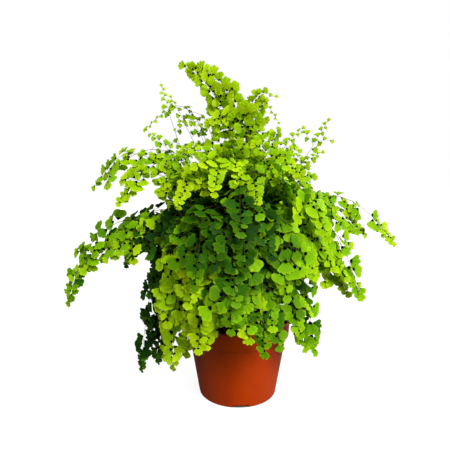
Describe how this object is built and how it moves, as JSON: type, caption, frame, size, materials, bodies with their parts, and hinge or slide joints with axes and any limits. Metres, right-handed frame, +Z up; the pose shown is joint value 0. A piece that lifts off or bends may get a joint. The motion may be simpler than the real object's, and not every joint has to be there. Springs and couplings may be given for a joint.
{
  "type": "potted maidenhair fern",
  "caption": "Maidenhair fern with wiry stalks and fan-shaped leaflets, in a round tapered plastic nursery pot with a collar, filled with soil.",
  "frame": {"origin": "middle of the pot's foot, on the surface that the pot stands on", "axes": "+Z up; -Y is the side that the picture shows; +X to its right"},
  "size_m": [0.378, 0.257, 0.3706],
  "materials": {
    "pot": "satin",
    "soil": "matte",
    "frond": "satin"
  },
  "bodies": {
    "root": {"pot": "pot", "soil": "soil", "frond_01": "frond", "frond_02": "frond", "frond_03": "frond", "frond_04": "frond", "frond_05": "frond", "frond_06": "frond", "frond_07": "frond", "frond_08": "frond", "frond_09": "frond", "frond_10": "frond", "frond_11": "frond", "frond_12": "frond", "frond_13": "frond", "frond_14": "frond", "frond_15": "frond", "frond_16": "frond", "frond_17": "frond", "frond_18": "frond", "frond_19": "frond", "frond_20": "frond", "frond_21": "frond", "frond_22": "frond", "frond_23": "frond", "frond_24": "frond", "frond_25": "frond", "frond_26": "frond", "frond_27": "frond", "frond_28": "frond", "frond_29": "frond", "frond_30": "frond", "frond_31": "frond", "frond_32": "frond", "frond_33": "frond", "frond_34": "frond", "frond_35": "frond", "frond_36": "frond", "frond_37": "frond"}
  },
  "joints": []
}
